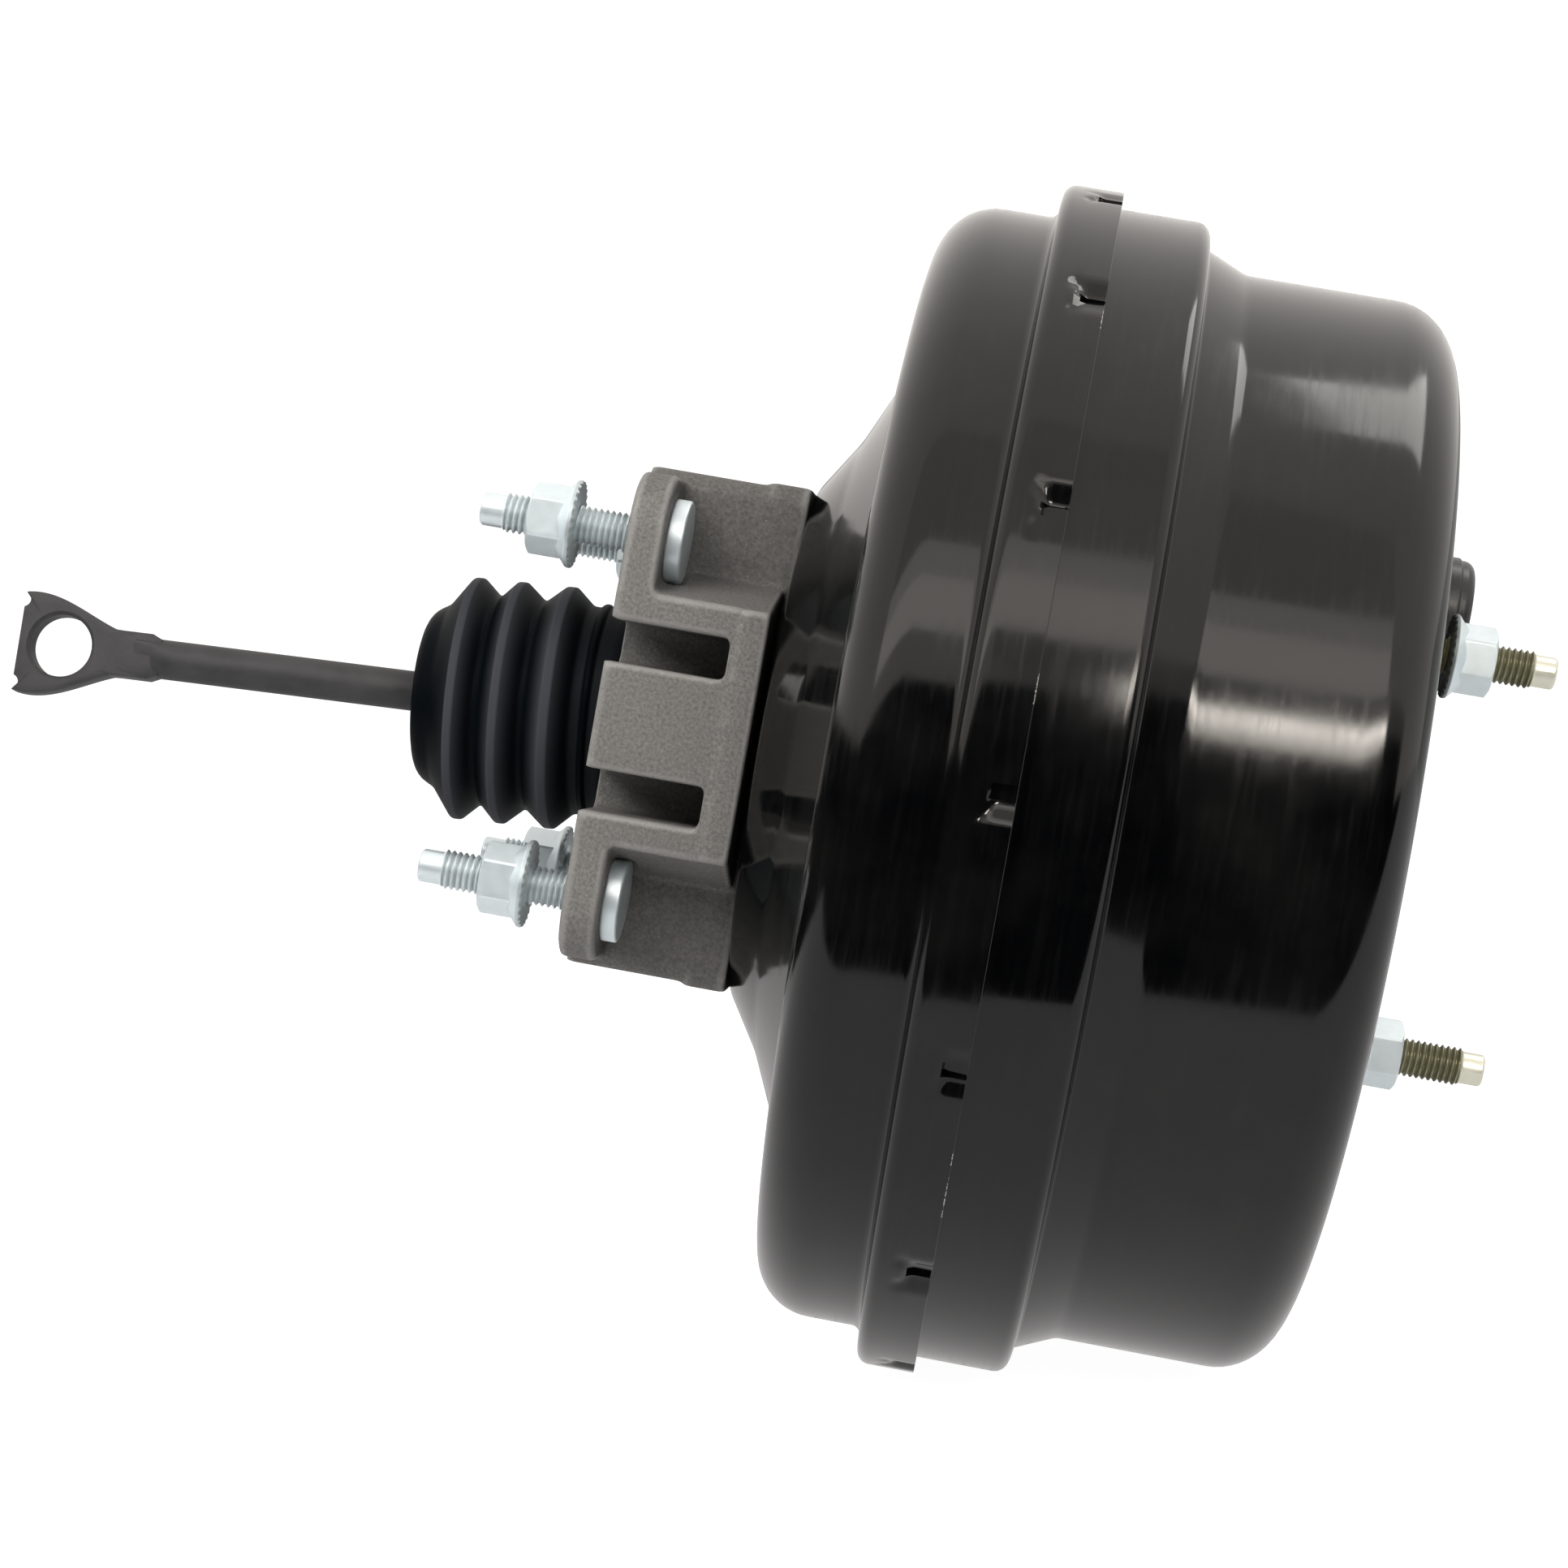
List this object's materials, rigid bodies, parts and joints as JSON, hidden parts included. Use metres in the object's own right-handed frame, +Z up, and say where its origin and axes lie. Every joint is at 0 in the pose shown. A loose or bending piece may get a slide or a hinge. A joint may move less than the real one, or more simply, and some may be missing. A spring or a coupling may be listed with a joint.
{
  "type": "brake booster",
  "caption": "Tandem vacuum brake booster with a cast firewall bracket, rubber boot, push rod with a pedal eye, and master cylinder studs.",
  "frame": {"origin": "on the booster's axis, in the bracket's rear face that bolts to the firewall", "axes": "+X along the axis towards the master cylinder, +Z up, +Y away from the picture's camera"},
  "size_m": [0.3218, 0.248, 0.248],
  "materials": {
    "black_paint": "semi-gloss black",
    "cast_aluminium": "shot-blasted casting",
    "zinc": "bright zinc plate",
    "yellow_zinc": "yellow zinc plate",
    "black_rubber": "matte",
    "phosphated_steel": "matte black phosphate",
    "steel": "plain steel",
    "moulded_plastic": "moulded",
    "black_plastic": "satin",
    "felt": "felt and foam"
  },
  "bodies": {
    "housing": {"rear_shell": "black_paint", "front_shell": "black_paint", "centre_divider": "steel", "divider_seal": "black_rubber", "primary_diaphragm": "black_rubber", "secondary_diaphragm": "black_rubber", "rear_bearing": "moulded_plastic", "rear_seal": "black_rubber", "mounting_bracket": "cast_aluminium", "firewall_studs": "zinc", "firewall_nuts": "zinc", "shell_studs": "zinc", "shell_nuts": "zinc", "rear_reinforcement_ring": "steel", "front_reinforcement_ring": "steel", "master_cylinder_studs": "yellow_zinc", "master_cylinder_nuts": "zinc", "return_spring": "steel", "dust_boot": "black_rubber", "vacuum_grommet": "black_rubber", "check_valve_body": "black_plastic"},
    "piston": {"valve_body": "moulded_plastic", "primary_plate": "steel", "secondary_plate": "steel", "secondary_retainer": "steel", "reaction_disc": "black_rubber", "output_rod": "steel", "output_rod_retainer": "steel", "valve_key": "steel", "poppet_valve": "black_rubber", "poppet_retainer": "steel", "poppet_spring": "steel", "silencer": "felt", "air_filter": "felt", "rod_return_spring": "steel"},
    "plunger": {"valve_plunger": "steel"},
    "ball_seat": {"rod_ball_seat": "moulded_plastic"},
    "pedal_rod": {"push_rod": "phosphated_steel", "rod_spring_collar": "steel"},
    "check_disc": {"check_valve_disc": "black_rubber", "check_valve_spring": "steel"}
  },
  "joints": [
    {"name": "piston_stroke", "type": "slide", "parent": "housing", "child": "piston", "axis": [1, 0, 0], "range_m": [0, 0.03], "stiffness_N_per_m": 1500, "springref_m": -0.03, "deforming": ["return_spring", "dust_boot", "primary_diaphragm", "secondary_diaphragm"]},
    {"name": "valve_stroke", "type": "slide", "parent": "piston", "child": "plunger", "axis": [1, 0, 0], "range_m": [0, 0.0015], "stiffness_N_per_m": 3000, "springref_m": -0.004, "deforming": ["rod_return_spring"]},
    {"name": "rod_yaw", "type": "hinge", "parent": "plunger", "child": "ball_seat", "pos_m": [0.014, 0, 0], "axis": [0, 0, 1], "range_deg": [-2.5, 2.5]},
    {"name": "rod_pitch", "type": "hinge", "parent": "ball_seat", "child": "pedal_rod", "pos_m": [0.014, 0, 0], "axis": [0, 1, 0], "range_deg": [-1, 6]},
    {"name": "check_valve_lift", "type": "slide", "parent": "housing", "child": "check_disc", "axis": [1, 0, 0], "range_m": [0, 0.002], "stiffness_N_per_m": 200, "springref_m": -0.003, "deforming": ["check_valve_spring"]}
  ]
}
